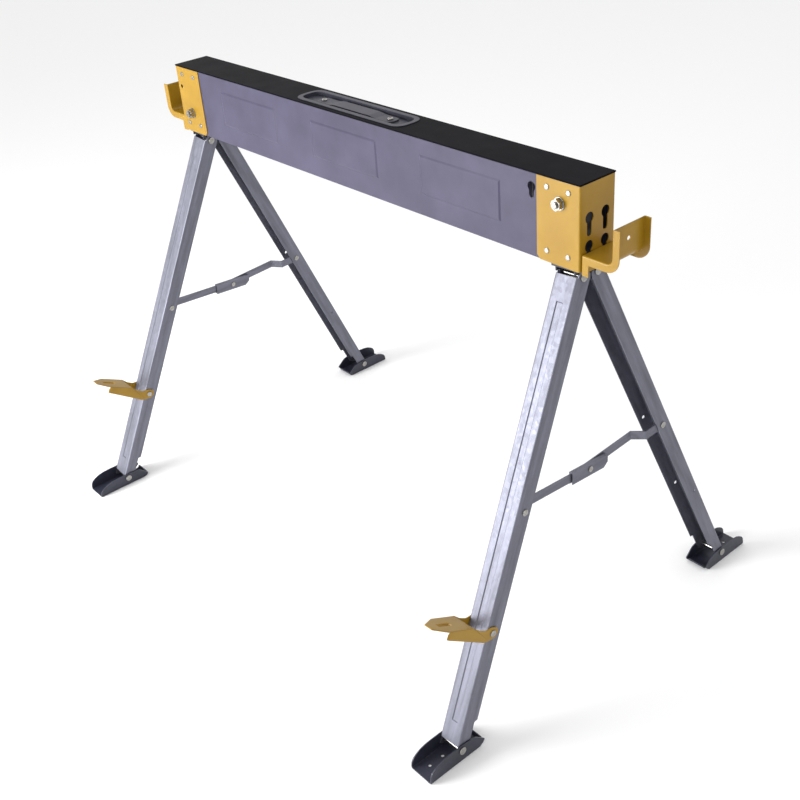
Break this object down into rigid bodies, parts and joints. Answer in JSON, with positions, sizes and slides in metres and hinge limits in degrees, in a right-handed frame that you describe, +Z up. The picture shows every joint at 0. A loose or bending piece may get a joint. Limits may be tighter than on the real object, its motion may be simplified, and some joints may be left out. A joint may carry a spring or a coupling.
{
  "type": "builders trestle",
  "caption": "Folding steel builders' trestle: a hollow beam on splayed channel legs that fold up inside it, with locking braces, swivel feet, panel pegs, timber saddles and a top handle.",
  "frame": {"origin": "on the floor below the middle of the beam", "axes": "+X along the beam to the near end, +Z up, -Y to the side with the panel pegs"},
  "size_m": [1.1218, 0.7724, 0.811],
  "materials": {
    "black_coat": "semi_gloss",
    "yellow_coat": "satin",
    "galvanised": "satin",
    "zinc_plated": "polished",
    "moulding": "matte"
  },
  "bodies": {
    "beam": {"beam_shell": "black_coat", "handle_bezel": "moulding", "handle_strap": "moulding", "handle_screws": "zinc_plated", "near_end_bracket": "yellow_coat", "near_bracket_rivets": "zinc_plated", "near_pivot_bolt": "zinc_plated", "near_pivot_nut": "zinc_plated", "far_end_bracket": "yellow_coat", "far_bracket_rivets": "zinc_plated", "far_pivot_bolt": "zinc_plated", "far_pivot_nut": "zinc_plated"},
    "near_sleeve": {"near_pivot_sleeve": "zinc_plated"},
    "near_head": {"near_carriage": "black_coat", "near_hinge_pins": "zinc_plated"},
    "near_front_leg_set": {"near_front_leg": "galvanised", "near_front_brace_pin": "zinc_plated", "near_front_foot_pin": "zinc_plated", "near_peg_rivet": "zinc_plated"},
    "near_back_leg_set": {"near_back_leg": "galvanised", "near_back_brace_pin": "zinc_plated", "near_back_foot_pin": "zinc_plated"},
    "near_front_brace": {"near_front_brace_strip": "galvanised", "near_brace_sleeve": "galvanised", "near_brace_rivet": "zinc_plated"},
    "near_back_brace": {"near_back_brace_strip": "galvanised"},
    "near_front_shoe": {"near_front_foot": "black_coat"},
    "near_back_shoe": {"near_back_foot": "black_coat"},
    "near_peg": {"near_panel_peg": "yellow_coat"},
    "near_saddle": {"near_timber_saddle": "yellow_coat", "near_saddle_studs": "zinc_plated"},
    "far_sleeve": {"far_pivot_sleeve": "zinc_plated"},
    "far_head": {"far_carriage": "black_coat", "far_hinge_pins": "zinc_plated"},
    "far_front_leg_set": {"far_front_leg": "galvanised", "far_front_brace_pin": "zinc_plated", "far_front_foot_pin": "zinc_plated", "far_peg_rivet": "zinc_plated"},
    "far_back_leg_set": {"far_back_leg": "galvanised", "far_back_brace_pin": "zinc_plated", "far_back_foot_pin": "zinc_plated"},
    "far_front_brace": {"far_front_brace_strip": "galvanised", "far_brace_sleeve": "galvanised", "far_brace_rivet": "zinc_plated"},
    "far_back_brace": {"far_back_brace_strip": "galvanised"},
    "far_front_shoe": {"far_front_foot": "black_coat"},
    "far_back_shoe": {"far_back_foot": "black_coat"},
    "far_peg": {"far_panel_peg": "yellow_coat"},
    "far_saddle": {"far_timber_saddle": "yellow_coat", "far_saddle_studs": "zinc_plated"}
  },
  "joints": [
    {"name": "near_stow", "type": "hinge", "parent": "beam", "child": "near_sleeve", "pos_m": [0.462, 0, 0.7765], "axis": [0, 1, 0], "range_deg": [0, 32]},
    {"name": "near_fold", "type": "hinge", "parent": "near_sleeve", "child": "near_head", "pos_m": [0.462, 0, 0.7765], "axis": [0, 1, 0], "range_deg": [0, 61.5]},
    {"name": "near_front_leg_close", "type": "hinge", "parent": "near_head", "child": "near_front_leg_set", "pos_m": [0.46853, -0.0145, 0.66975], "axis": [0.9981, 0, 0.061], "range_deg": [0, 24.65]},
    {"name": "near_back_leg_close", "type": "hinge", "parent": "near_head", "child": "near_back_leg_set", "pos_m": [0.46853, 0.0145, 0.66975], "axis": [-0.9981, 0, -0.061], "range_deg": [0, 24.65]},
    {"name": "near_front_brace_turn", "type": "hinge", "parent": "near_front_leg_set", "child": "near_front_brace", "pos_m": [0.48756, -0.15532, 0.35866], "axis": [0.9981, 0, 0.061], "range_deg": [0, 64.43]},
    {"name": "near_back_brace_turn", "type": "hinge", "parent": "near_back_leg_set", "child": "near_back_brace", "pos_m": [0.48756, 0.15532, 0.35866], "axis": [-0.9981, 0, -0.061], "range_deg": [0, 64.43]},
    {"name": "near_front_foot_turn", "type": "hinge", "parent": "near_front_leg_set", "child": "near_front_shoe", "pos_m": [0.50839, -0.32019, 0.018], "axis": [0.9981, 0, 0.061], "range_deg": [0, 65.35]},
    {"name": "near_back_foot_turn", "type": "hinge", "parent": "near_back_leg_set", "child": "near_back_shoe", "pos_m": [0.50839, 0.32019, 0.018], "axis": [-0.9981, 0, -0.061], "range_deg": [0, 65.35]},
    {"name": "near_peg_turn", "type": "hinge", "parent": "near_front_leg_set", "child": "near_peg", "pos_m": [0.49778, -0.23877, 0.19152], "axis": [0.9981, 0, 0.061], "range_deg": [0, 92.5]},
    {"name": "near_saddle_lift", "type": "slide", "parent": "beam", "child": "near_saddle", "axis": [0, 0, 1], "range_m": [0, 0.0215]},
    {"name": "far_stow", "type": "hinge", "parent": "beam", "child": "far_sleeve", "pos_m": [-0.462, 0, 0.724], "axis": [0, -1, 0], "range_deg": [0, 32]},
    {"name": "far_fold", "type": "hinge", "parent": "far_sleeve", "child": "far_head", "pos_m": [-0.462, 0, 0.724], "axis": [0, -1, 0], "range_deg": [0, 61.5]},
    {"name": "far_front_leg_close", "type": "hinge", "parent": "far_head", "child": "far_front_leg_set", "pos_m": [-0.46532, -0.0145, 0.66975], "axis": [0.9981, 0, -0.061], "range_deg": [0, 24.65]},
    {"name": "far_back_leg_close", "type": "hinge", "parent": "far_head", "child": "far_back_leg_set", "pos_m": [-0.46532, 0.0145, 0.66975], "axis": [-0.9981, 0, 0.061], "range_deg": [0, 24.65]},
    {"name": "far_front_brace_turn", "type": "hinge", "parent": "far_front_leg_set", "child": "far_front_brace", "pos_m": [-0.48435, -0.15532, 0.35866], "axis": [0.9981, 0, -0.061], "range_deg": [0, 64.43]},
    {"name": "far_back_brace_turn", "type": "hinge", "parent": "far_back_leg_set", "child": "far_back_brace", "pos_m": [-0.48435, 0.15532, 0.35866], "axis": [-0.9981, 0, 0.061], "range_deg": [0, 64.43]},
    {"name": "far_front_foot_turn", "type": "hinge", "parent": "far_front_leg_set", "child": "far_front_shoe", "pos_m": [-0.50518, -0.32019, 0.018], "axis": [0.9981, 0, -0.061], "range_deg": [0, 65.35]},
    {"name": "far_back_foot_turn", "type": "hinge", "parent": "far_back_leg_set", "child": "far_back_shoe", "pos_m": [-0.50518, 0.32019, 0.018], "axis": [-0.9981, 0, 0.061], "range_deg": [0, 65.35]},
    {"name": "far_peg_turn", "type": "hinge", "parent": "far_front_leg_set", "child": "far_peg", "pos_m": [-0.49457, -0.23877, 0.19152], "axis": [0.9981, 0, -0.061], "range_deg": [0, 92.5]},
    {"name": "far_saddle_lift", "type": "slide", "parent": "beam", "child": "far_saddle", "axis": [0, 0, 1], "range_m": [0, 0.0215]}
  ],
  "couplings": [
    {"joint": "near_front_leg_close", "follows": "near_fold", "ratio": 0.40081},
    {"joint": "near_back_leg_close", "follows": "near_fold", "ratio": 0.40081},
    {"joint": "near_front_brace_turn", "follows": "near_fold", "ratio": 1.0476},
    {"joint": "near_back_brace_turn", "follows": "near_fold", "ratio": 1.0476},
    {"joint": "near_front_foot_turn", "follows": "near_fold", "ratio": 1.0626},
    {"joint": "near_back_foot_turn", "follows": "near_fold", "ratio": 1.0626},
    {"joint": "near_peg_turn", "follows": "near_fold", "ratio": 1.5041},
    {"joint": "far_front_leg_close", "follows": "far_fold", "ratio": 0.40081},
    {"joint": "far_back_leg_close", "follows": "far_fold", "ratio": 0.40081},
    {"joint": "far_front_brace_turn", "follows": "far_fold", "ratio": 1.0476},
    {"joint": "far_back_brace_turn", "follows": "far_fold", "ratio": 1.0476},
    {"joint": "far_front_foot_turn", "follows": "far_fold", "ratio": 1.0626},
    {"joint": "far_back_foot_turn", "follows": "far_fold", "ratio": 1.0626},
    {"joint": "far_peg_turn", "follows": "far_fold", "ratio": 1.5041}
  ]
}
